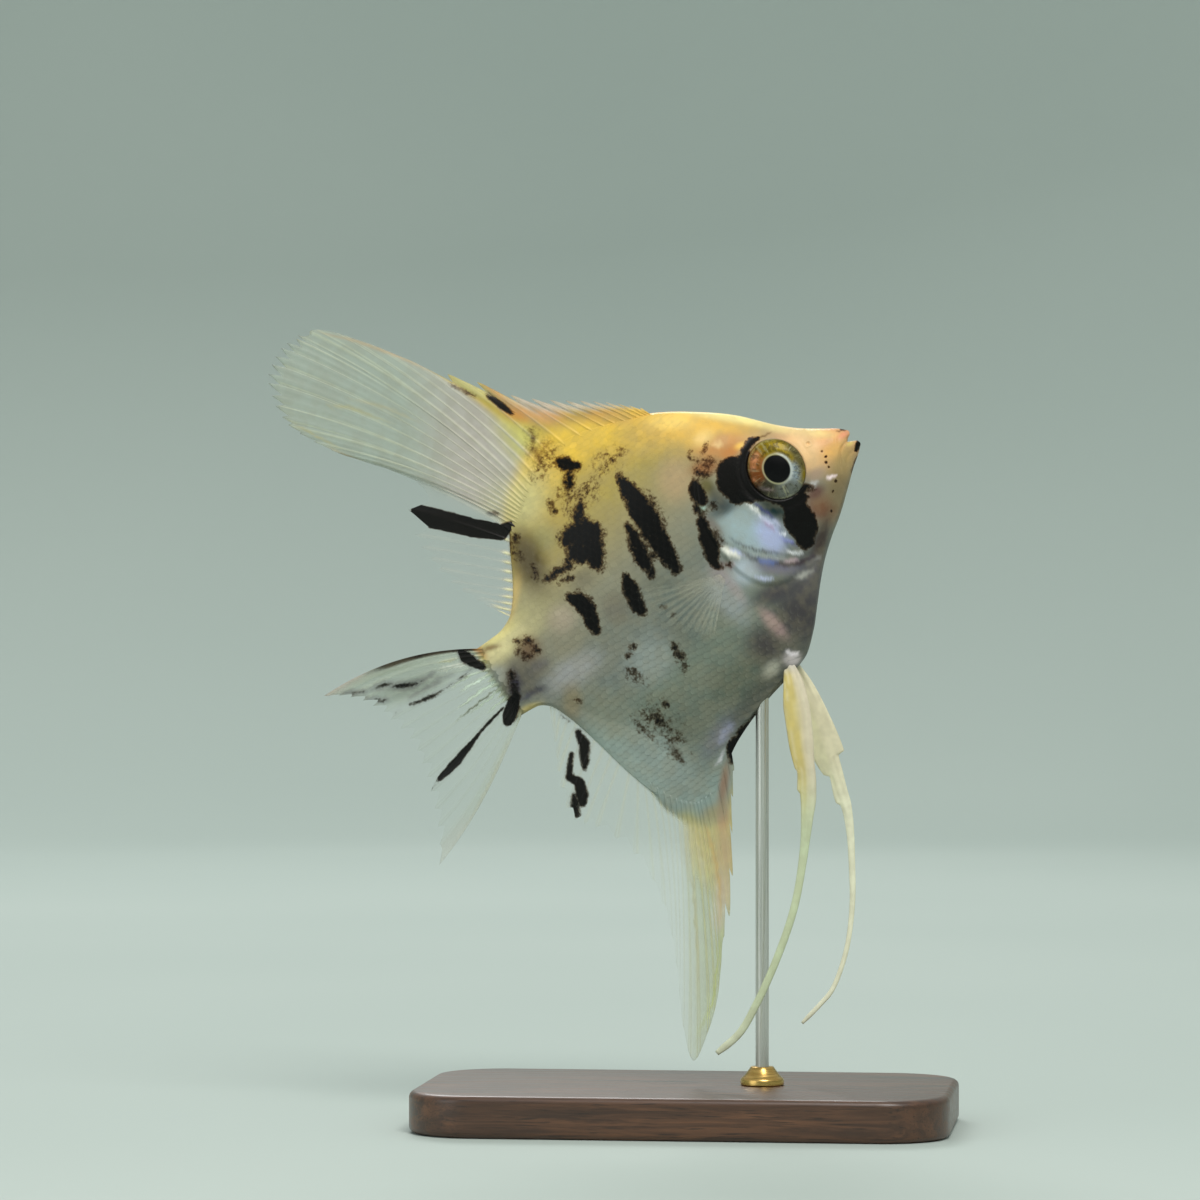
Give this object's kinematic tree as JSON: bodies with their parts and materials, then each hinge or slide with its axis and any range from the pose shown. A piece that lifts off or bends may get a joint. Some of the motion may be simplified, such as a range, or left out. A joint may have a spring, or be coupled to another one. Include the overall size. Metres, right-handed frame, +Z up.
{
  "type": "marble angelfish display model",
  "caption": "Life-size still model of a marble freshwater angelfish, nose tilted up, with tall fins and trailing pelvic filaments, held by a rod on a flat display base.",
  "frame": {"origin": "centre of the flat underside of the display base", "axes": "+X towards the snout, +Z up, +Y towards the fish's left side; the body axis rises 34 degrees from +X"},
  "size_m": [0.083, 0.036, 0.0956],
  "materials": {
    "skin": "moist satin, scaled, with dark marbling",
    "gill_cover": "silvery, pearly and smooth",
    "eye": "glossy, gold-brown iris and black pupil",
    "fin_web": "thin translucent web on fine rays",
    "pelvic_ray": "pale yellow, slightly translucent",
    "dark_wood": "satin, fine straight grain",
    "steel": "fine brushed",
    "brass": "turned, softly polished"
  },
  "bodies": {
    "root": {"head": "skin", "lower_jaw": "skin", "gill_cover_left": "gill_cover", "gill_cover_right": "gill_cover", "trunk": "skin", "tail_stalk": "skin", "eye_left": "eye", "eye_right": "eye", "dorsal_fin": "fin_web", "anal_fin": "fin_web", "caudal_fin": "fin_web", "pectoral_fin_left": "fin_web", "pectoral_fin_right": "fin_web", "pelvic_fin_left": "pelvic_ray", "pelvic_fin_right": "pelvic_ray", "stand_base": "dark_wood", "stand_collar": "brass", "stand_rod": "steel"}
  },
  "joints": []
}
